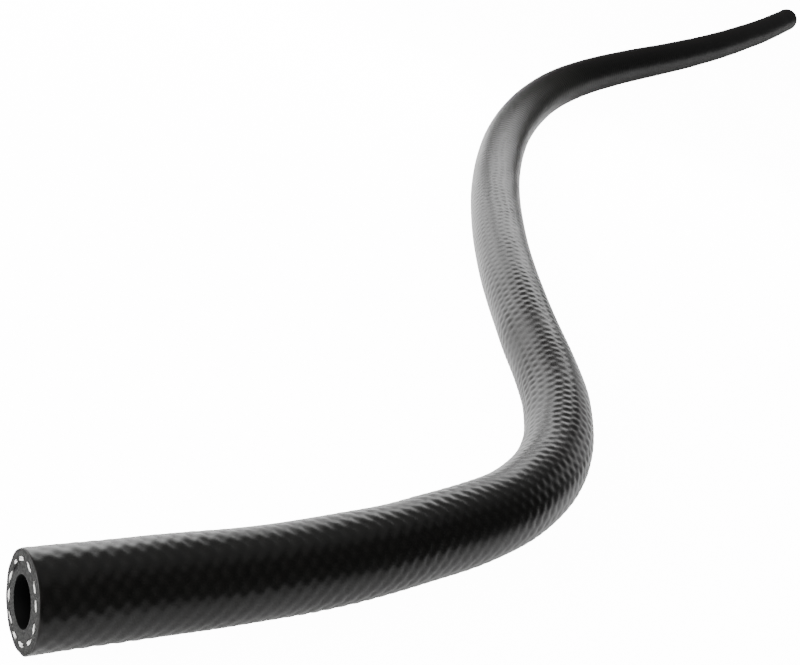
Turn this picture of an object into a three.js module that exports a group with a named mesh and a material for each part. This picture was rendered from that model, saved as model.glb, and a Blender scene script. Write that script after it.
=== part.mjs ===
import * as THREE from "three";

// A length of braid-reinforced rubber fuel hose, cut square at both ends and lying on a level floor.
// Millimetres, +Z up. The origin is on the floor, in the middle of the hose's footprint. The near end points along -X.

// Sizes of the hose
const boreDiameter = 6.35;
const innerTubeWall = 1.5;
const braidThickness = 0.55;
const coverWall = 1.025;
const bondClearance = 0.05;

// How finely the round section and the bends are cut into flats
const sectionSides = 16;
const stepLength = 12.7;

// Radii of the three layers, from the bore outwards
const innerTubeInside = boreDiameter / 2;
const innerTubeOutside = innerTubeInside + innerTubeWall;
const braidInside = innerTubeOutside + bondClearance;
const braidOutside = braidInside + braidThickness;
const coverInside = braidOutside + bondClearance;
const coverOutside = coverInside + coverWall;

// The route of the hose's axis over the floor, as x and y, from the near end to the far end
const routeOnFloor = [
  [-274.8, -192.7],
  [-267.8, -192.7],
  [-260.8, -192.7],
  [-239, -192.5],
  [-217.6, -190.2],
  [-195.5, -184.9],
  [-180.2, -175.6],
  [-168, -160.4],
  [-156.1, -132.6],
  [-146.6, -111.6],
  [-136.3, -92.4],
  [-122.7, -70.6],
  [-107.6, -50.2],
  [-91.6, -31.6],
  [-72.5, -12.7],
  [-53.3, 3.6],
  [-33.6, 17.9],
  [-11.3, 31.9],
  [13.4, 45.6],
  [37, 58],
  [60.4, 70],
  [84.9, 82.8],
  [107.2, 94.9],
  [129.3, 107.2],
  [151.4, 119.9],
  [174.5, 133.6],
  [198.8, 148],
  [233.3, 169.5],
  [271.4, 193.8],
];

// The axis lies one outer radius above the floor, so the cover just touches it.
const axis = new THREE.CatmullRomCurve3(
  routeOnFloor.map(([x, y]) => new THREE.Vector3(x, y, coverOutside)),
);
const stepsAlong = Math.round(axis.getLength() / stepLength);

// The corners of the round section, with one at the very bottom
function sectionCorners(radius) {
  const corners = [];
  for (let side = 0; side < sectionSides; side += 1) {
    const turn = (side / sectionSides) * 2 * Math.PI;
    corners.push(
      new THREE.Vector2(radius * Math.cos(turn), radius * Math.sin(turn)),
    );
  }
  return corners;
}

// One layer of the hose wall: a ring-shaped section carried along the axis
function layer(name, insideRadius, outsideRadius, material) {
  const ring = new THREE.Shape(sectionCorners(outsideRadius));
  ring.holes.push(new THREE.Path(sectionCorners(insideRadius)));
  const wall = new THREE.ExtrudeGeometry(ring, {
    steps: stepsAlong,
    extrudePath: axis,
    bevelEnabled: false,
  });
  const mesh = new THREE.Mesh(wall, material);
  mesh.name = name;
  return mesh;
}

const innerTubeRubber = new THREE.MeshStandardMaterial({
  name: "inner_tube_rubber",
  color: 0x4a4a4a,
  roughness: 0.8,
  metalness: 0,
});
const yarn = new THREE.MeshStandardMaterial({
  name: "polyester_yarn",
  color: 0xe8e6e0,
  roughness: 0.75,
  metalness: 0,
});
const coverRubber = new THREE.MeshStandardMaterial({
  name: "cover_rubber",
  color: 0x1d1c1b,
  roughness: 0.55,
  metalness: 0,
});

const fuelHose = new THREE.Group();
fuelHose.add(
  layer("inner_tube", innerTubeInside, innerTubeOutside, innerTubeRubber),
  layer("yarn_braid", braidInside, braidOutside, yarn),
  layer("outer_cover", coverInside, coverOutside, coverRubber),
);

export default fuelHose;
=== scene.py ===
import math

import bpy
import numpy as np
from mathutils import Matrix, Vector


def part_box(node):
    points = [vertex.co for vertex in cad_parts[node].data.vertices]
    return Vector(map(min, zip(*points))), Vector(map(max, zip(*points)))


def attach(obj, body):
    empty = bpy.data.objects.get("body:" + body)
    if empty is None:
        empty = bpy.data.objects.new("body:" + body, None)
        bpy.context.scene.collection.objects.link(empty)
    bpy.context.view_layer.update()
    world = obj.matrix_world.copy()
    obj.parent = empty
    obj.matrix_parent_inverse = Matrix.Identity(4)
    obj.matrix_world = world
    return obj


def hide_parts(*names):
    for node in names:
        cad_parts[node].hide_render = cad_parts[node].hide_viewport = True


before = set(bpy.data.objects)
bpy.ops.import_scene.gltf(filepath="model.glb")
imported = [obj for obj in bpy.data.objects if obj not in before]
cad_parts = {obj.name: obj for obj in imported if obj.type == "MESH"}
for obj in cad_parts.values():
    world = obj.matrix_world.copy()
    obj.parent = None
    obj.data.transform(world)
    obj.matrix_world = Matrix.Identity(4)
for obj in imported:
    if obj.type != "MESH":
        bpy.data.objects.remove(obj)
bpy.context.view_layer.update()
print("packed model loaded")


# Sizes of the hose, in metres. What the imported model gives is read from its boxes.
def boxHeight(node):
    low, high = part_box(node)
    return high[2] - low[2]


hose = {
    "outerRadius": boxHeight("outer_cover") / 2,
    "braidRadius": (boxHeight("yarn_braid") + boxHeight("inner_tube")) / 4,
    "tubeRadius": boxHeight("inner_tube") / 2,
    "boreRadius": 0.003175,
    "yarnsEachWay": 12,
    "yarnPitch": 0.0021,  # along the hose, between two yarns that wind the same way
    "yarnStart": 0.21,  # where the first yarn lies at the near end, in yarns
    "weave": 0.35,  # how much higher a yarn shows where it passes over
    "ridgeSharpness": 1.7,
    "faceInset": 0.00005,  # the rubber of a cut end lies this far behind the yarn ends
    "cordPoints": 160,
}

# The axis over the floor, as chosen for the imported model
routeOnFloor = [
    (-0.2748, -0.1927),
    (-0.2678, -0.1927),
    (-0.2608, -0.1927),
    (-0.2390, -0.1925),
    (-0.2176, -0.1902),
    (-0.1955, -0.1849),
    (-0.1802, -0.1756),
    (-0.1680, -0.1604),
    (-0.1561, -0.1326),
    (-0.1466, -0.1116),
    (-0.1363, -0.0924),
    (-0.1227, -0.0706),
    (-0.1076, -0.0502),
    (-0.0916, -0.0316),
    (-0.0725, -0.0127),
    (-0.0533, 0.0036),
    (-0.0336, 0.0179),
    (-0.0113, 0.0319),
    (0.0134, 0.0456),
    (0.0370, 0.0580),
    (0.0604, 0.0700),
    (0.0849, 0.0828),
    (0.1072, 0.0949),
    (0.1293, 0.1072),
    (0.1514, 0.1199),
    (0.1745, 0.1336),
    (0.1988, 0.1480),
    (0.2333, 0.1695),
    (0.2714, 0.1938),
]

# The camera stands low in front of the near end and looks along the hose
viewpoint = {
    "place": (-0.32229, -0.29728, 0.11476),
    "heading": 39.32,  # degrees from +Y towards +X
    "downwards": 24.54,
    "roll": 20.97,
    "lens": 56.25,
    "sensor": 36.0,
    "shift": (-0.0233, -0.075),
}


def addCamera(v):
    heading = math.radians(v["heading"])
    down = math.radians(v["downwards"])
    roll = math.radians(v["roll"])
    ahead = Vector(
        (
            math.sin(heading) * math.cos(down),
            math.cos(heading) * math.cos(down),
            -math.sin(down),
        )
    )
    right = Vector((math.cos(heading), -math.sin(heading), 0))
    up = right.cross(ahead)
    across = right * math.cos(roll) + up * math.sin(roll)
    upward = up * math.cos(roll) - right * math.sin(roll)
    data = bpy.data.cameras.new("camera")
    data.sensor_width = v["sensor"]
    data.lens = v["lens"]
    data.shift_x, data.shift_y = v["shift"]
    data.clip_start = 0.01
    data.clip_end = 20
    camera = bpy.data.objects.new("camera", data)
    turn = Matrix((across, upward, -ahead)).transposed()
    camera.matrix_world = Matrix.Translation(v["place"]) @ turn.to_4x4()
    bpy.context.scene.collection.objects.link(camera)
    bpy.context.scene.camera = camera


addCamera(viewpoint)
print("camera placed")


# A smooth line through the points, with steps that follow the root of their spacing
def smoothLine(points, stepsEach=60):
    points = np.array(points, float)
    before = 2 * points[0] - points[1]
    after = 2 * points[-1] - points[-2]
    padded = np.vstack([before, points, after])
    line = []
    for i in range(1, len(padded) - 2):
        p0, p1, p2, p3 = padded[i - 1 : i + 3]
        d0 = np.linalg.norm(p1 - p0) ** 0.5
        d1 = np.linalg.norm(p2 - p1) ** 0.5
        d2 = np.linalg.norm(p3 - p2) ** 0.5
        t1 = ((p1 - p0) / d0 - (p2 - p0) / (d0 + d1) + (p2 - p1) / d1) * d1
        t2 = ((p2 - p1) / d1 - (p3 - p1) / (d1 + d2) + (p3 - p2) / d2) * d1
        t = np.arange(stepsEach)[:, None] / stepsEach
        cubic = (2 * p1 - 2 * p2 + t1 + t2) * t**3
        square = (3 * p2 - 3 * p1 - 2 * t1 - t2) * t**2
        line.append(p1 + t1 * t + square + cubic)
    line.append(points[-1:])
    return np.vstack(line)


# The hose's axis, which gives places and directions for distances along it
class HoseAxis:
    halfStep = 0.0008  # directions are taken over twice this

    def __init__(self, route, height):
        self.line = smoothLine(route)
        steps = np.linalg.norm(np.diff(self.line, axis=0), axis=1)
        self.reach = np.concatenate([[0], np.cumsum(steps)])
        self.length = float(self.reach[-1])
        self.height = height

    # Places on the axis and the sideways directions there
    def at(self, along):
        x = np.interp(along, self.reach, self.line[:, 0])
        y = np.interp(along, self.reach, self.line[:, 1])
        ahead = np.clip(along + self.halfStep, 0, self.length)
        behind = np.clip(along - self.halfStep, 0, self.length)
        dx, dy = (
            np.interp(ahead, self.reach, column) - np.interp(behind, self.reach, column)
            for column in self.line.T
        )
        size = np.hypot(dx, dy)
        side = np.stack([-dy / size, dx / size, np.zeros_like(x)], axis=-1)
        centre = np.stack([x, y, np.full_like(x, self.height)], axis=-1)
        return centre, side

    # Points at a distance along, an angle round (0 is the left side, a quarter turn the top) and a radius
    def surface(self, along, around, radius):
        centre, side = self.at(along)
        up = np.array([0.0, 0.0, 1.0])
        out = side * np.cos(around)[..., None] + up * np.sin(around)[..., None]
        return centre + out * radius[..., None]


axis = HoseAxis(routeOnFloor, hose["outerRadius"])
print("hose axis laid, %.4f m long" % axis.length)


# Slow uneven waves over the skin. Whole turns round the hose keep them closed.
def unevenness(along, around, seed, longest, shortest, waves=7):
    rng = np.random.default_rng(seed)
    total = np.zeros(np.broadcast(along, around).shape)
    for _ in range(waves):
        turns = rng.integers(-3, 4)
        wavelength = rng.uniform(shortest, longest)
        start = rng.uniform(0, 2 * math.pi)
        total = total + np.sin(
            2 * math.pi * along / wavelength + turns * around + start
        )
    return total / math.sqrt(waves)


# How many yarns one winding way has passed at a place, so whole numbers lie on a yarn
def yarnPhase(along, around, way):
    return (
        way * hose["yarnsEachWay"] * around / (2 * math.pi)
        + along / hose["yarnPitch"]
        + hose["yarnStart"] * way
    )


# A grid of points as a mesh, with its rows closed round the hose
def gridFaces(rows, columns, start=0, flip=False):
    row = np.arange(rows - 1)[:, None] * columns + start
    column = np.arange(columns)[None, :]
    following = (column + 1) % columns
    a = row + column
    b = row + following
    c = row + columns + following
    d = row + columns + column
    order = (a, d, c, b) if flip else (a, b, c, d)
    return np.stack(np.broadcast_arrays(*order), axis=-1).reshape(-1, 4)


# A piece from points and faces, with values at its points and a flat map where its material reads them
def buildMesh(name, points, faces, finishes, finishOf, attributes=None, skinMap=None):
    mesh = bpy.data.meshes.new(name)
    mesh.from_pydata(points.tolist(), [], faces.tolist())
    for finish in finishes:
        mesh.materials.append(finish)
    mesh.polygons.foreach_set("material_index", finishOf.astype(np.int32))
    mesh.polygons.foreach_set("use_smooth", np.ones(len(faces), dtype=bool))
    for key, values in (attributes or {}).items():
        layer = mesh.attributes.new(key, "FLOAT", "POINT")
        layer.data.foreach_set("value", values.astype(np.float32))
    if skinMap is not None:
        flat = mesh.uv_layers.new(name="skinMap")
        flat.data.foreach_set("uv", skinMap.astype(np.float32).ravel())
    mesh.update()
    piece = bpy.data.objects.new(name, mesh)
    bpy.context.scene.collection.objects.link(piece)
    return piece


# Shader parts
def newMaterial(name):
    material = bpy.data.materials.new(name)
    material.use_nodes = True
    return material, material.node_tree.nodes, material.node_tree.links


def newGroup(name, inputs, outputs):
    tree = bpy.data.node_groups.new(name, "ShaderNodeTree")
    for label, kind, value in inputs:
        socket = tree.interface.new_socket(label, in_out="INPUT", socket_type=kind)
        if value is not None:
            socket.default_value = value
    for label, kind in outputs:
        tree.interface.new_socket(label, in_out="OUTPUT", socket_type=kind)
    start = tree.nodes.new("NodeGroupInput")
    end = tree.nodes.new("NodeGroupOutput")
    return tree, start, end


def mathNode(nodes, operation, *values):
    node = nodes.new("ShaderNodeMath")
    node.operation = operation
    for socket, value in zip(node.inputs, values):
        if value is not None:
            socket.default_value = value
    return node


# Fine grain of moulded rubber: a height for a bump and a mask of slightly duller patches
grainValues = {"detail": 3, "roughness": 0.6, "patchDetail": 4, "patchRange": (0.35, 0.68)}


def buildRubberGrain(g):
    tree, start, end = newGroup(
        "rubberGrain",
        [
            ("Grain Scale", "NodeSocketFloat", 4200.0),
            ("Patch Scale", "NodeSocketFloat", 90.0),
        ],
        [("Height", "NodeSocketFloat"), ("Patches", "NodeSocketFloat")],
    )
    nodes, links = tree.nodes, tree.links
    place = nodes.new("ShaderNodeTexCoord")
    grain = nodes.new("ShaderNodeTexNoise")
    grain.inputs["Detail"].default_value = g["detail"]
    grain.inputs["Roughness"].default_value = g["roughness"]
    patches = nodes.new("ShaderNodeTexNoise")
    patches.inputs["Detail"].default_value = g["patchDetail"]
    sharpen = nodes.new("ShaderNodeMapRange")
    sharpen.inputs["From Min"].default_value = g["patchRange"][0]
    sharpen.inputs["From Max"].default_value = g["patchRange"][1]
    links.new(place.outputs["Object"], grain.inputs["Vector"])
    links.new(start.outputs["Grain Scale"], grain.inputs["Scale"])
    links.new(place.outputs["Object"], patches.inputs["Vector"])
    links.new(start.outputs["Patch Scale"], patches.inputs["Scale"])
    links.new(patches.outputs["Fac"], sharpen.inputs["Value"])
    links.new(grain.outputs["Fac"], end.inputs["Height"])
    links.new(sharpen.outputs["Result"], end.inputs["Patches"])
    return tree


# Knife marks across a cut face: a height and a mask of smeared, paler rubber
knifeValues = {"detail": 5, "roughness": 0.65, "smearRange": (0.42, 0.62)}


def buildKnifeMarks(k):
    tree, start, end = newGroup(
        "knifeMarks",
        [("Mark Scale", "NodeSocketFloat", 900.0), ("Stretch", "NodeSocketFloat", 7.0)],
        [("Height", "NodeSocketFloat"), ("Smear", "NodeSocketFloat")],
    )
    nodes, links = tree.nodes, tree.links
    place = nodes.new("ShaderNodeTexCoord")
    split = nodes.new("ShaderNodeSeparateXYZ")
    stretch = mathNode(nodes, "MULTIPLY", None, None)
    join = nodes.new("ShaderNodeCombineXYZ")
    marks = nodes.new("ShaderNodeTexNoise")
    marks.inputs["Detail"].default_value = k["detail"]
    marks.inputs["Roughness"].default_value = k["roughness"]
    smear = nodes.new("ShaderNodeMapRange")
    smear.inputs["From Min"].default_value = k["smearRange"][0]
    smear.inputs["From Max"].default_value = k["smearRange"][1]
    links.new(place.outputs["Object"], split.inputs["Vector"])
    links.new(split.outputs["Z"], stretch.inputs[0])
    links.new(start.outputs["Stretch"], stretch.inputs[1])
    links.new(split.outputs["X"], join.inputs["X"])
    links.new(split.outputs["Y"], join.inputs["Y"])
    links.new(stretch.outputs["Value"], join.inputs["Z"])
    links.new(join.outputs["Vector"], marks.inputs["Vector"])
    links.new(start.outputs["Mark Scale"], marks.inputs["Scale"])
    links.new(marks.outputs["Fac"], smear.inputs["Value"])
    links.new(marks.outputs["Fac"], end.inputs["Height"])
    links.new(smear.outputs["Result"], end.inputs["Smear"])
    return tree


# The braid's relief under the skin, worked out on the skin's flat map: along in metres, round in turns.
# A few low wrinkles lie across the hose.
wrinkleValues = {"crowding": 190.0, "scale": 0.9, "detail": 1.5, "range": (0.57, 0.70)}


def buildBraidRelief(h, w):
    tree, start, end = newGroup(
        "braidRelief",
        [("Weave", "NodeSocketFloat", 0.35), ("Wrinkles", "NodeSocketFloat", 0.3)],
        [("Height", "NodeSocketFloat"), ("Crest", "NodeSocketFloat")],
    )
    nodes, links = tree.nodes, tree.links
    flat = nodes.new("ShaderNodeUVMap")
    flat.uv_map = "skinMap"
    split = nodes.new("ShaderNodeSeparateXYZ")
    links.new(flat.outputs["UV"], split.inputs["Vector"])
    waves = []
    halfWaves = []
    for way, drift in ((1, "driftOne"), (-1, "driftTwo")):
        turns = mathNode(nodes, "MULTIPLY_ADD", None, way * h["yarnsEachWay"], h["yarnStart"] * way)
        passed = mathNode(nodes, "MULTIPLY_ADD", None, 1 / h["yarnPitch"], None)
        moved = mathNode(nodes, "ADD", None, None)
        attribute = nodes.new("ShaderNodeAttribute")
        attribute.attribute_name = drift
        links.new(split.outputs["Y"], turns.inputs[0])
        links.new(split.outputs["X"], passed.inputs[0])
        links.new(turns.outputs["Value"], passed.inputs[2])
        links.new(passed.outputs["Value"], moved.inputs[0])
        links.new(attribute.outputs["Fac"], moved.inputs[1])
        for factor, kept in ((2 * math.pi, waves), (math.pi, halfWaves)):
            angle = mathNode(nodes, "MULTIPLY", None, factor)
            wave = mathNode(nodes, "COSINE", None)
            links.new(moved.outputs["Value"], angle.inputs[0])
            links.new(angle.outputs["Value"], wave.inputs[0])
            kept.append(wave.outputs["Value"])
    product = mathNode(nodes, "MULTIPLY", None, None)
    over = mathNode(nodes, "MULTIPLY", None, None)
    both = mathNode(nodes, "ADD", None, None)
    apart = mathNode(nodes, "SUBTRACT", None, None)
    lean = mathNode(nodes, "MULTIPLY_ADD", None, None, None)
    share = mathNode(nodes, "MULTIPLY_ADD", None, 0.25, 0.5)
    lack = mathNode(nodes, "SUBTRACT", 1.0, None)
    lack.use_clamp = True
    sharp = mathNode(nodes, "POWER", None, h["ridgeSharpness"])
    crest = mathNode(nodes, "SUBTRACT", 1.0, None)
    links.new(halfWaves[0], product.inputs[0])
    links.new(halfWaves[1], product.inputs[1])
    links.new(product.outputs["Value"], over.inputs[0])
    links.new(start.outputs["Weave"], over.inputs[1])
    links.new(waves[0], both.inputs[0])
    links.new(waves[1], both.inputs[1])
    links.new(waves[0], apart.inputs[0])
    links.new(waves[1], apart.inputs[1])
    links.new(apart.outputs["Value"], lean.inputs[0])
    links.new(over.outputs["Value"], lean.inputs[1])
    links.new(both.outputs["Value"], lean.inputs[2])
    links.new(lean.outputs["Value"], share.inputs[0])
    links.new(share.outputs["Value"], lack.inputs[1])
    links.new(lack.outputs["Value"], sharp.inputs[0])
    links.new(sharp.outputs["Value"], crest.inputs[1])
    # the wrinkles
    angle = mathNode(nodes, "MULTIPLY", None, 2 * math.pi)
    cosine = mathNode(nodes, "COSINE", None)
    sine = mathNode(nodes, "SINE", None)
    stretch = mathNode(nodes, "MULTIPLY", None, w["crowding"])
    join = nodes.new("ShaderNodeCombineXYZ")
    folds = nodes.new("ShaderNodeTexNoise")
    folds.inputs["Scale"].default_value = w["scale"]
    folds.inputs["Detail"].default_value = w["detail"]
    ridge = nodes.new("ShaderNodeMapRange")
    ridge.interpolation_type = "SMOOTHSTEP"
    ridge.inputs["From Min"].default_value = w["range"][0]
    ridge.inputs["From Max"].default_value = w["range"][1]
    height = mathNode(nodes, "MULTIPLY_ADD", None, None, None)
    links.new(split.outputs["Y"], angle.inputs[0])
    links.new(angle.outputs["Value"], cosine.inputs[0])
    links.new(angle.outputs["Value"], sine.inputs[0])
    links.new(split.outputs["X"], stretch.inputs[0])
    links.new(cosine.outputs["Value"], join.inputs["X"])
    links.new(sine.outputs["Value"], join.inputs["Y"])
    links.new(stretch.outputs["Value"], join.inputs["Z"])
    links.new(join.outputs["Vector"], folds.inputs["Vector"])
    links.new(folds.outputs["Fac"], ridge.inputs["Value"])
    links.new(ridge.outputs["Result"], height.inputs[0])
    links.new(start.outputs["Wrinkles"], height.inputs[1])
    links.new(crest.outputs["Value"], height.inputs[2])
    links.new(height.outputs["Value"], end.inputs["Height"])
    links.new(crest.outputs["Value"], end.inputs["Crest"])
    return tree


braidRelief = buildBraidRelief(hose, wrinkleValues)
rubberGrain = buildRubberGrain(grainValues)
knifeMarks = buildKnifeMarks(knifeValues)


def useGroup(nodes, tree, values):
    node = nodes.new("ShaderNodeGroup")
    node.node_tree = tree
    for key, value in values.items():
        node.inputs[key].default_value = value
    return node


def colourMix(nodes, links, factor, dark, light):
    mix = nodes.new("ShaderNodeMix")
    mix.data_type = "RGBA"
    mix.inputs["A"].default_value = (*dark, 1)
    mix.inputs["B"].default_value = (*light, 1)
    links.new(factor, mix.inputs["Factor"])
    return mix.outputs["Result"]


def rangeOf(nodes, links, value, low, high):
    spread = nodes.new("ShaderNodeMapRange")
    spread.inputs["To Min"].default_value = low
    spread.inputs["To Max"].default_value = high
    links.new(value, spread.inputs["Value"])
    return spread.outputs["Result"]


def addBump(nodes, links, height, distance, strength, shader):
    bump = nodes.new("ShaderNodeBump")
    bump.inputs["Strength"].default_value = strength
    bump.inputs["Distance"].default_value = distance
    links.new(height, bump.inputs["Height"])
    links.new(bump.outputs["Normal"], shader.inputs["Normal"])


# The black skin, duller in its hollows and shinier on its ridges
coverRubber = {
    "valley": (0.0095, 0.0088, 0.0082),
    "crest": (0.0065, 0.0060, 0.0056),
    "roughValley": 0.42,
    "roughCrest": 0.28,
    "specular": 0.22,
    "wear": 0.35,
    "wrinkles": 0.6,
    "reliefDepth": 0.00016,
    "grainDepth": 0.000012,
    "grain": {"Grain Scale": 3800.0, "Patch Scale": 70.0},
}


def coverMaterial(look):
    material, nodes, links = newMaterial("coverRubber")
    shader = nodes["Principled BSDF"]
    shader.inputs["Specular IOR Level"].default_value = look["specular"]
    grain = useGroup(nodes, rubberGrain, look["grain"])
    relief = useGroup(nodes, braidRelief, {"Weave": hose["weave"], "Wrinkles": look["wrinkles"]})
    wear = mathNode(nodes, "MULTIPLY_ADD", None, look["wear"], None)
    links.new(grain.outputs["Patches"], wear.inputs[0])
    links.new(relief.outputs["Crest"], wear.inputs[2])
    colour = colourMix(nodes, links, wear.outputs["Value"], look["valley"], look["crest"])
    links.new(colour, shader.inputs["Base Color"])
    rough = rangeOf(
        nodes, links, wear.outputs["Value"], look["roughValley"], look["roughCrest"]
    )
    links.new(rough, shader.inputs["Roughness"])
    # where the mesh is too coarse to carry the relief, a bump does
    flatShare = nodes.new("ShaderNodeAttribute")
    flatShare.attribute_name = "flatShare"
    shown = mathNode(nodes, "MULTIPLY", None, None)
    grainShare = look["grainDepth"] / look["reliefDepth"]
    fine = mathNode(nodes, "MULTIPLY_ADD", None, grainShare, None)
    links.new(relief.outputs["Height"], shown.inputs[0])
    links.new(flatShare.outputs["Fac"], shown.inputs[1])
    links.new(grain.outputs["Height"], fine.inputs[0])
    links.new(shown.outputs["Value"], fine.inputs[2])
    addBump(nodes, links, fine.outputs["Value"], look["reliefDepth"], 1.0, shader)
    return material


# Cut rubber shows the knife's marks and, as thin dark lines, where its layers meet
cutRubber = {
    "dark": (0.009, 0.009, 0.0088),
    "pale": (0.040, 0.040, 0.039),
    "line": 0.35,
    "lineHalf": 0.00006,
    "coverLineDepth": 0.00045,  # a line lies this far under the skin
    "tubeLineDepth": 0.00042,  # and this far from the bore
    "roughness": (0.62, 0.82),
    "specular": 0.08,
    "markDepth": 0.00004,
    "marks": {"Mark Scale": 3000.0, "Stretch": 1.6},
}


def cutMaterial(look, name, lineRadii):
    material, nodes, links = newMaterial(name)
    shader = nodes["Principled BSDF"]
    shader.inputs["Specular IOR Level"].default_value = look["specular"]
    marks = useGroup(nodes, knifeMarks, look["marks"])
    radial = nodes.new("ShaderNodeAttribute")
    radial.attribute_name = "radial"
    nearest = None
    for radius in lineRadii:
        away = mathNode(nodes, "SUBTRACT", None, radius)
        size = mathNode(nodes, "ABSOLUTE", None)
        links.new(radial.outputs["Fac"], away.inputs[0])
        links.new(away.outputs["Value"], size.inputs[0])
        if nearest is None:
            nearest = size.outputs["Value"]
        else:
            least = mathNode(nodes, "MINIMUM", None, None)
            links.new(nearest, least.inputs[0])
            links.new(size.outputs["Value"], least.inputs[1])
            nearest = least.outputs["Value"]
    clear = nodes.new("ShaderNodeMapRange")
    clear.inputs["From Max"].default_value = look["lineHalf"]
    clear.inputs["To Min"].default_value = look["line"]
    links.new(nearest, clear.inputs["Value"])
    paleness = mathNode(nodes, "MULTIPLY", None, None)
    links.new(marks.outputs["Smear"], paleness.inputs[0])
    links.new(clear.outputs["Result"], paleness.inputs[1])
    colour = colourMix(nodes, links, paleness.outputs["Value"], look["dark"], look["pale"])
    links.new(colour, shader.inputs["Base Color"])
    rough = rangeOf(nodes, links, marks.outputs["Height"], *look["roughness"])
    links.new(rough, shader.inputs["Roughness"])
    height = mathNode(nodes, "ADD", None, None)
    links.new(marks.outputs["Height"], height.inputs[0])
    links.new(clear.outputs["Result"], height.inputs[1])
    addBump(nodes, links, height.outputs["Value"], look["markDepth"], 1.0, shader)
    return material


# The bore's rubber is near-black, far darker than the same tube's rubber on its cut face: painted shade
# inside the bore, varied a little by the grain's random patches.
boreRubberPaintedShade = {
    "dark": (0.0008, 0.0008, 0.0008),
    "pale": (0.0018, 0.0018, 0.0018),
    "roughness": (0.6, 0.75),
    "specular": 0.02,
    "grain": {"Grain Scale": 3000.0, "Patch Scale": 120.0},
    "grainDepth": 0.00001,
    "grainStrength": 0.3,
}


def boreMaterial(look):
    material, nodes, links = newMaterial("boreRubberPaintedShade")
    shader = nodes["Principled BSDF"]
    shader.inputs["Specular IOR Level"].default_value = look["specular"]
    grain = useGroup(nodes, rubberGrain, look["grain"])
    # painted shade: the bore's near-black colour, mixed by random grain patches
    colour = colourMix(nodes, links, grain.outputs["Patches"], look["dark"], look["pale"])
    links.new(colour, shader.inputs["Base Color"])
    rough = rangeOf(nodes, links, grain.outputs["Patches"], *look["roughness"])
    links.new(rough, shader.inputs["Roughness"])
    addBump(nodes, links, grain.outputs["Height"], look["grainDepth"], look["grainStrength"], shader)
    return material


yarnLook = {
    "shade": (0.74, 0.73, 0.70),
    "white": (0.92, 0.91, 0.88),
    "roughness": (0.6, 0.8),
    "fibres": {"Mark Scale": 3500.0, "Stretch": 3.0},
    "fibreDepth": 0.00004,
    "fibreStrength": 0.6,
}


def yarnMaterial(look):
    material, nodes, links = newMaterial("polyesterYarn")
    shader = nodes["Principled BSDF"]
    fibres = useGroup(nodes, knifeMarks, look["fibres"])
    colour = colourMix(nodes, links, fibres.outputs["Smear"], look["shade"], look["white"])
    links.new(colour, shader.inputs["Base Color"])
    rough = rangeOf(nodes, links, fibres.outputs["Height"], *look["roughness"])
    links.new(rough, shader.inputs["Roughness"])
    addBump(nodes, links, fibres.outputs["Height"], look["fibreDepth"], look["fibreStrength"], shader)
    return material


coverLines = (hose["braidRadius"], hose["outerRadius"] - cutRubber["coverLineDepth"])
tubeLines = (hose["boreRadius"] + cutRubber["tubeLineDepth"], hose["tubeRadius"])
materials = {
    "cover": coverMaterial(coverRubber),
    "cutCover": cutMaterial(cutRubber, "cutCover", coverLines),
    "cutTube": cutMaterial(cutRubber, "cutTube", tubeLines),
    "bore": boreMaterial(boreRubberPaintedShade),
    "yarn": yarnMaterial(yarnLook),
}
print("materials made")


# The cover: a skin that the braid below pushes up into low crossing ridges. The near stretch carries them
# in its mesh; past it the mesh is coarser and the bump carries them.
cover = {
    "sides": 96,
    "fineReach": 0.168,
    "fineStep": 0.00031,
    "fadeLength": 0.022,
    "coarseStep": 0.0026,
    "insideRings": 90,
    "faceShares": (0.33, 0.67),  # rings of a cut face, from the lining out to the skin
    "ridgeHeight": 0.00016,
    "flatLevel": 0.6,  # the smooth stretch lies at this share of the ridges' height
    "strength": (0.74, 0.28, 0.2),  # how deep the relief is: its mean, its swing and its least
    "strengthWaves": (5, 0.05, 0.012),  # seed, longest and shortest wave
    "wander": 0.16,
    "wanderOne": (3, 0.034, 0.009),
    "wanderTwo": (4, 0.030, 0.009),
    "lump": 0.00003,
    "lumpWaves": (6, 0.09, 0.02),
    "bumpStarts": 0.55,
    "bumpLoses": 0.3,
    "bumpFades": (0.2, 0.25),  # where it starts to fade along the hose, and over what length
    "edgeRound": 0.00010,
    "edgeSteps": (0.00005, 0.0001),
    "farEdgeSteps": (0.0003, 0.0001, 0.00005),
    "seamAngle": math.radians(214),
    "seamDepth": 0.00005,
    "seamHalfWidth": 0.045,
    "seamWander": 0.25,
    "seamWave": 0.05,
}


# Distances of the skin's rings along the hose
def coverRings(c):
    inset = hose["faceInset"]
    fine = np.arange(inset, c["fineReach"], c["fineStep"])
    count = int((axis.length - inset - fine[-1]) / c["coarseStep"])
    coarse = np.linspace(fine[-1], axis.length - inset, count)[1:]
    lastEdge = axis.length - inset - np.array(c["farEdgeSteps"])
    return np.unique(np.concatenate([fine, inset + np.array(c["edgeSteps"]), coarse, lastEdge]))


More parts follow.
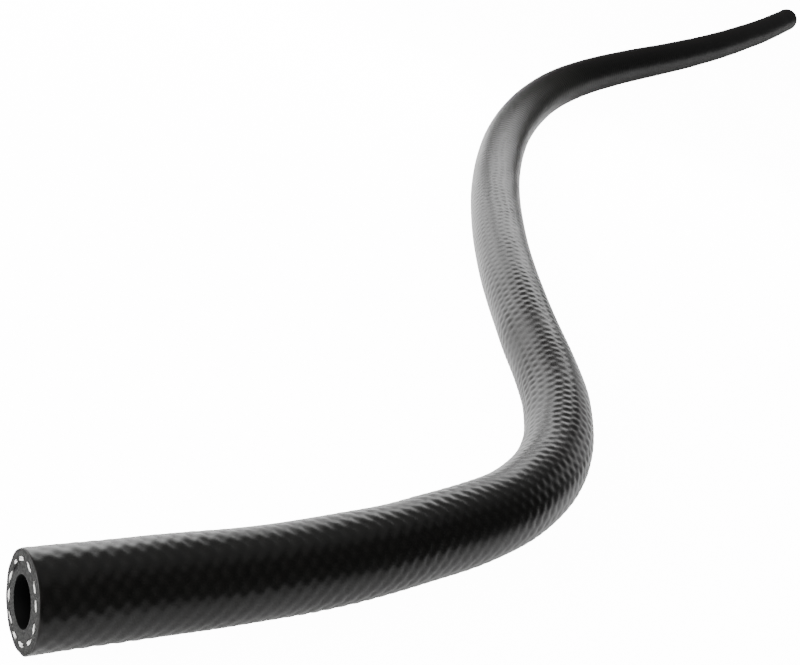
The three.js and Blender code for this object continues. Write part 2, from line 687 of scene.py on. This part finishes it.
# The skin's radius and, for its material, where the yarns wander and how much relief the bump has to show
def coverSkin(c, along, around):
    inset = hose["faceInset"]
    driftOne = c["wander"] * unevenness(along, around, *c["wanderOne"])
    driftTwo = c["wander"] * unevenness(along, around, *c["wanderTwo"])
    phaseOne = yarnPhase(along, around, 1) + driftOne
    phaseTwo = yarnPhase(along, around, -1) + driftTwo
    waveOne = np.cos(2 * math.pi * phaseOne)
    waveTwo = np.cos(2 * math.pi * phaseTwo)
    over = hose["weave"] * np.cos(math.pi * phaseOne) * np.cos(math.pi * phaseTwo)
    share = 0.5 + 0.25 * (waveOne + waveTwo + over * (waveOne - waveTwo))
    crest = 1 - np.clip(1 - share, 0, 1) ** hose["ridgeSharpness"]
    mean, swing, least = c["strength"]
    strength = np.clip(mean + swing * unevenness(along, around, *c["strengthWaves"]), least, 1.0)
    fade = np.clip((c["fineReach"] - along) / c["fadeLength"], 0, 1)
    fade = fade * fade * (3 - 2 * fade) + 0 * around
    relief = fade * strength * crest + (1 - fade) * c["flatLevel"]
    lump = c["lump"] * (unevenness(along, around, *c["lumpWaves"]) - 2)
    seamPlace = c["seamAngle"] + c["seamWander"] * np.sin(along / c["seamWave"])
    seamAway = (around - seamPlace) / c["seamHalfWidth"]
    seam = -c["seamDepth"] * fade * np.exp(-(seamAway**2))
    radius = hose["outerRadius"] - c["ridgeHeight"] * (1 - relief) + lump + seam
    fromEnd = np.minimum(along - inset, axis.length - inset - along)
    rounding = np.clip(1 - fromEnd / c["edgeRound"], 0, 1) ** 2
    radius = np.minimum(radius, hose["outerRadius"]) - c["edgeRound"] * rounding
    fadeStart, fadeLength = c["bumpFades"]
    bump = c["bumpStarts"] - c["bumpLoses"] * np.clip((along - fadeStart) / fadeLength, 0, 1)
    flatShare = bump * (1 - fade) * strength
    return radius, {"driftOne": driftOne, "driftTwo": driftTwo, "flatShare": flatShare}


# The flat map: along in metres, round in turns, with the last column running up to a whole turn
def coverMap(skinFaces, allFaces, rings, sides):
    corner = np.zeros((len(allFaces), 4, 2))
    onSkin = corner[: len(skinFaces)]
    onSkin[:, :, 0] = rings[skinFaces // sides]
    onSkin[:, :, 1] = (skinFaces % sides) / sides
    last = (onSkin[:, :, 1].max(axis=1) - onSkin[:, :, 1].min(axis=1)) > 0.5
    wrapped = onSkin[last]
    wrapped[..., 1] = np.where(wrapped[..., 1] < 0.5, 1.0, wrapped[..., 1])
    onSkin[last] = wrapped
    return corner.reshape(-1, 2)


def buildCover(c):
    inset = hose["faceInset"]
    sides = c["sides"]
    rings = coverRings(c)
    along = rings[:, None]
    around = 2 * math.pi * (np.arange(sides) / sides)[None, :]
    radius, shown = coverSkin(c, along, around)
    alongAll, aroundAll = np.broadcast_arrays(along, around)
    skin = axis.surface(alongAll, aroundAll, radius)
    insideAlong = np.linspace(inset, axis.length - inset, c["insideRings"])[:, None]
    insideAlong, insideAround = np.broadcast_arrays(insideAlong, around)
    liningRadius = np.full(insideAlong.shape, hose["tubeRadius"])
    lining = axis.surface(insideAlong, insideAround, liningRadius)
    # each cut face gets two rings between the lining and the skin
    faceRings = []
    faceRadii = []
    for end in (inset, axis.length - inset):
        for part in c["faceShares"]:
            r = hose["tubeRadius"] + part * (hose["outerRadius"] - hose["tubeRadius"])
            place = np.full((1, sides), end)
            faceRings.append(axis.surface(place, around, np.full((1, sides), r)))
            faceRadii.append(np.full(sides, r))
    points = np.concatenate([part.reshape(-1, 3) for part in (skin, lining, *faceRings)])
    radial = np.concatenate([radius.reshape(-1), liningRadius.reshape(-1)] + faceRadii)
    skinFaces = gridFaces(len(rings), sides, 0, flip=False)
    liningStart = len(rings) * sides
    liningFaces = gridFaces(c["insideRings"], sides, liningStart, flip=True)
    ringStart = liningStart + c["insideRings"] * sides
    lastSkin = (len(rings) - 1) * sides
    lastLining = liningStart + (c["insideRings"] - 1) * sides
    nearRings = [liningStart, ringStart, ringStart + sides, 0]
    farRings = [lastLining, ringStart + 2 * sides, ringStart + 3 * sides, lastSkin]
    faces = [skinFaces, liningFaces]
    column = np.arange(sides)
    following = (column + 1) % sides
    for chain, flip in ((nearRings, True), (farRings, False)):
        for inner, outer in zip(chain[:-1], chain[1:]):
            quad = (inner + column, outer + column, outer + following, inner + following)
            if flip:
                quad = quad[::-1]
            faces.append(np.stack(quad, axis=-1))
    allFaces = np.concatenate(faces)
    finishOf = np.ones(len(allFaces))
    finishOf[: len(skinFaces)] = 0
    attributes = {"radial": radial}
    for key, values in shown.items():
        attributes[key] = np.zeros(len(points))
        attributes[key][: skin.size // 3] = values.reshape(-1)
    return buildMesh(
        "outerCover",
        points,
        allFaces,
        [materials["cover"], materials["cutCover"]],
        finishOf,
        attributes,
        coverMap(skinFaces, allFaces, rings, sides),
    )


coverPiece = buildCover(cover)
print("cover built, %d faces" % len(coverPiece.data.polygons))


# The inner tube, with its bore open from end to end
tube = {
    "rings": 300,
    "sides": 64,
    "shrink": 0.00002,  # keeps the tube clear of the cover's lining
    "faceShares": (0.97, 0.5, 0.05),  # rings of a cut face, from the outside in to the bore
    "faceUneven": 0.00002,
    "faceSeed": 20,
}


def buildInnerTube(t):
    inset = hose["faceInset"]
    sides = t["sides"]
    around = np.linspace(0, 2 * math.pi, sides, endpoint=False)[None, :]
    along = np.linspace(inset, axis.length - inset, t["rings"])[:, None]
    alongAll, aroundAll = np.broadcast_arrays(along, around)
    outerRadii = np.full(alongAll.shape, hose["tubeRadius"] - t["shrink"])
    boreRadii = np.full(alongAll.shape, hose["boreRadius"])
    points = [
        axis.surface(alongAll, aroundAll, outerRadii).reshape(-1, 3),
        axis.surface(alongAll, aroundAll, boreRadii).reshape(-1, 3),
    ]
    radial = [outerRadii.reshape(-1), boreRadii.reshape(-1)]
    insideStart = t["rings"] * sides
    faces = [
        gridFaces(t["rings"], sides, 0, flip=False),
        gridFaces(t["rings"], sides, insideStart, flip=True),
    ]
    ringStart = 2 * t["rings"] * sides
    column = np.arange(sides)
    following = (column + 1) % sides
    for k, end in enumerate((inset, axis.length - inset)):
        chain = [0 if k == 0 else (t["rings"] - 1) * sides]
        for share in t["faceShares"]:
            r = hose["boreRadius"] + share * (hose["tubeRadius"] - hose["boreRadius"])
            seed = t["faceSeed"] + k
            wave = t["faceUneven"] * unevenness(np.zeros_like(around), around, seed, 1.0, 0.5)
            ring = axis.surface(np.full((1, sides), end), around, np.full((1, sides), r) + wave)
            points.append(ring.reshape(-1, 3))
            radial.append(np.full(sides, r))
            chain.append(ringStart)
            ringStart += sides
        chain.append(insideStart + (0 if k == 0 else (t["rings"] - 1) * sides))
        for outer, inner in zip(chain[:-1], chain[1:]):
            quad = (inner + column, outer + column, outer + following, inner + following)
            if k == 0:
                quad = quad[::-1]
            faces.append(np.stack(quad, axis=-1))
    finishOf = np.zeros(sum(len(part) for part in faces))
    finishOf[len(faces[0]) : len(faces[0]) + len(faces[1])] = 1
    return buildMesh(
        "innerTube",
        np.concatenate(points),
        np.concatenate(faces),
        [materials["cutTube"], materials["bore"]],
        finishOf,
        {"radial": np.concatenate(radial)},
    )


tubePiece = buildInnerTube(tube)
print("inner tube built")


# The braid: yarns wound both ways, each passing over and under the others
braid = {
    "width": 0.00092,
    "thickness": 0.00029,
    "wave": 0.00012,
    "sides": 8,
    "stepsNearEnd": 28,
    "endStretch": 0.008,
    "turnSteps": 14,
    "drift": 0.16,
    "sizes": (0.65, 1.15),
    "seed": 11,
}


def buildBraid(b):
    turnLength = hose["yarnPitch"] * hose["yarnsEachWay"]
    middle = hose["braidRadius"]
    slope = math.atan2(turnLength, 2 * math.pi * middle)
    halfArc = b["width"] / 2 / math.sin(slope) / middle
    spacing = turnLength / b["turnSteps"]
    near = np.linspace(0, b["endStretch"], b["stepsNearEnd"])
    last = axis.length - b["endStretch"] - spacing / 2
    centre = np.arange(b["endStretch"] + spacing, last, spacing)
    along = np.concatenate([near, centre, axis.length - near[::-1]])
    ring = np.linspace(0, 2 * math.pi, b["sides"], endpoint=False)
    rng = np.random.default_rng(b["seed"])
    points = []
    faces = []
    start = 0
    for way in (1, -1):
        for yarn in range(hose["yarnsEachWay"]):
            drift = rng.uniform(-b["drift"], b["drift"])
            size = rng.uniform(*b["sizes"])
            count = yarn + drift - hose["yarnStart"] * way
            eachTurn = way * 2 * math.pi / hose["yarnsEachWay"]
            around = eachTurn * (count - along / hose["yarnPitch"])
            other = yarnPhase(along, around, -way)
            lift = b["wave"] * (-1) ** yarn * way * np.cos(math.pi * other)
            angle = around[:, None] + size * halfArc * np.cos(ring)[None, :]
            halfThick = size * b["thickness"] / 2
            radius = (middle + lift)[:, None] + halfThick * np.sin(ring)[None, :]
            alongAll = np.broadcast_to(along[:, None], angle.shape)
            points.append(axis.surface(alongAll, angle, radius).reshape(-1, 3))
            faces.append(gridFaces(len(along), b["sides"], start, flip=way < 0))
            for row, flip in ((0, False), (len(along) - 1, True)):
                rim = start + row * b["sides"]
                fan = rim + np.array([[0, k, k + 1, k + 2] for k in range(1, b["sides"] - 2, 2)])
                faces.append(fan[:, ::-1] if flip else fan)
            start += len(along) * b["sides"]
    allFaces = np.concatenate(faces)
    return buildMesh(
        "yarnBraid",
        np.concatenate(points),
        allFaces,
        [materials["yarn"]],
        np.zeros(len(allFaces)),
    )


braidPiece = buildBraid(braid)
print("braid built, %d faces" % len(braidPiece.data.polygons))

for piece, node, slot in (
    (coverPiece, "outer_cover", "cover_rubber"),
    (tubePiece, "inner_tube", "inner_tube_rubber"),
    (braidPiece, "yarn_braid", "polyester_yarn"),
):
    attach(piece, "root")
    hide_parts(node)

print("hose pieces placed")


# Floor and light. Floor and sky show plain white. The floor glows most beside the bend and least past the far
# end, and the sky is bright only low on the left.
studio = {
    "floorSize": 6.0,
    "floorColour": (0.86, 0.86, 0.86),
    "floorRoughness": 0.9,
    "floorSpecular": 0.2,
    "whiteShown": 14.0,
    "glowNear": 0.6,
    "glowFar": 0.12,
    "glowFalls": (-0.16, 0.0),  # from and to, along x
    "poolPlace": (-0.20, -0.05, 0.0),
    "poolReach": 0.20,
    "poolGlow": 2.4,
    "skyBright": 1.0,
    "skyDark": 0.07,
    "skyHeading": -6.0,  # degrees from +Y towards +X
    "brightFrom": 0.74,  # cosines of the angle off that heading
    "brightFull": 0.97,
}
# area lamps: place, aim, size and power
lamps = {
    "softboxAbove": ((0.10, 0.10, 0.95), (-0.1, -0.1, 0), (0.9, 0.9), 1.2),
    "backPanel": ((-0.17, 0.12, 0.09), (-0.13, -0.08, 0.03), (0.17, 0.17), 0.40),
    "bendPanel": ((-0.045, 0.015, 0.078), (-0.16, -0.13, 0.03), (0.14, 0.07), 0.17),
    "sidePanel": ((0.05, -0.10, 0.06), (-0.17, -0.15, 0.01), (0.14, 0.10), 0.08),
    "endPanel": ((-0.80, -0.12, 0.30), (-0.27, -0.19, 0.0), (0.5, 0.5), 10.0),
}


def addFloor(s):
    half = s["floorSize"] / 2
    mesh = bpy.data.meshes.new("floor")
    corners = [(-half, -half, 0), (half, -half, 0), (half, half, 0), (-half, half, 0)]
    mesh.from_pydata(corners, [], [(0, 1, 2, 3)])
    material, nodes, links = newMaterial("paleFloor")
    shader = nodes["Principled BSDF"]
    shader.inputs["Base Color"].default_value = (*s["floorColour"], 1)
    shader.inputs["Roughness"].default_value = s["floorRoughness"]
    shader.inputs["Specular IOR Level"].default_value = s["floorSpecular"]
    shader.inputs["Emission Color"].default_value = (1, 1, 1, 1)
    place = nodes.new("ShaderNodeTexCoord")
    split = nodes.new("ShaderNodeSeparateXYZ")
    base = nodes.new("ShaderNodeMapRange")
    base.interpolation_type = "SMOOTHSTEP"
    base.inputs["From Min"].default_value = s["glowFalls"][0]
    base.inputs["From Max"].default_value = s["glowFalls"][1]
    base.inputs["To Min"].default_value = s["glowNear"]
    base.inputs["To Max"].default_value = s["glowFar"]
    away = nodes.new("ShaderNodeVectorMath")
    away.operation = "DISTANCE"
    away.inputs[1].default_value = s["poolPlace"]
    pool = nodes.new("ShaderNodeMapRange")
    pool.interpolation_type = "SMOOTHSTEP"
    pool.inputs["From Max"].default_value = s["poolReach"]
    pool.inputs["To Min"].default_value = s["poolGlow"]
    pool.inputs["To Max"].default_value = 0.0
    glow = mathNode(nodes, "ADD", None, None)
    ray = nodes.new("ShaderNodeLightPath")
    shown = nodes.new("ShaderNodeMix")
    shown.inputs["B"].default_value = s["whiteShown"]
    links.new(place.outputs["Object"], split.inputs["Vector"])
    links.new(split.outputs["X"], base.inputs["Value"])
    links.new(place.outputs["Object"], away.inputs[0])
    links.new(away.outputs["Value"], pool.inputs["Value"])
    links.new(base.outputs["Result"], glow.inputs[0])
    links.new(pool.outputs["Result"], glow.inputs[1])
    links.new(ray.outputs["Is Camera Ray"], shown.inputs["Factor"])
    links.new(glow.outputs["Value"], shown.inputs["A"])
    links.new(shown.outputs["Result"], shader.inputs["Emission Strength"])
    mesh.materials.append(material)
    floor = bpy.data.objects.new("floor", mesh)
    bpy.context.scene.collection.objects.link(floor)


def addSky(s):
    world = bpy.data.worlds.new("studioSky")
    world.use_nodes = True
    bpy.context.scene.world = world
    nodes, links = world.node_tree.nodes, world.node_tree.links
    background = nodes["Background"]
    background.inputs["Color"].default_value = (1, 1, 1, 1)
    place = nodes.new("ShaderNodeTexCoord")
    facing = nodes.new("ShaderNodeVectorMath")
    facing.operation = "DOT_PRODUCT"
    heading = math.radians(s["skyHeading"])
    facing.inputs[1].default_value = (math.sin(heading), math.cos(heading), 0)
    spread = nodes.new("ShaderNodeMapRange")
    spread.interpolation_type = "SMOOTHSTEP"
    spread.inputs["From Min"].default_value = s["brightFrom"]
    spread.inputs["From Max"].default_value = s["brightFull"]
    spread.inputs["To Min"].default_value = s["skyDark"]
    spread.inputs["To Max"].default_value = s["skyBright"]
    links.new(place.outputs["Generated"], facing.inputs[0])
    links.new(facing.outputs["Value"], spread.inputs["Value"])
    ray = nodes.new("ShaderNodeLightPath")
    shown = nodes.new("ShaderNodeMix")
    shown.inputs["B"].default_value = s["whiteShown"]
    links.new(ray.outputs["Is Camera Ray"], shown.inputs["Factor"])
    links.new(spread.outputs["Result"], shown.inputs["A"])
    links.new(shown.outputs["Result"], background.inputs["Strength"])


def addLamp(name, place, aim, size, power):
    data = bpy.data.lights.new(name, "AREA")
    data.shape = "RECTANGLE"
    data.size, data.size_y = size
    data.energy = power
    lamp = bpy.data.objects.new(name, data)
    lamp.location = place
    lamp.rotation_euler = (Vector(aim) - Vector(place)).to_track_quat("-Z", "Y").to_euler()
    bpy.context.scene.collection.objects.link(lamp)


addFloor(studio)
addSky(studio)
for name, values in lamps.items():
    addLamp(name, *values)
print("floor and lights set")
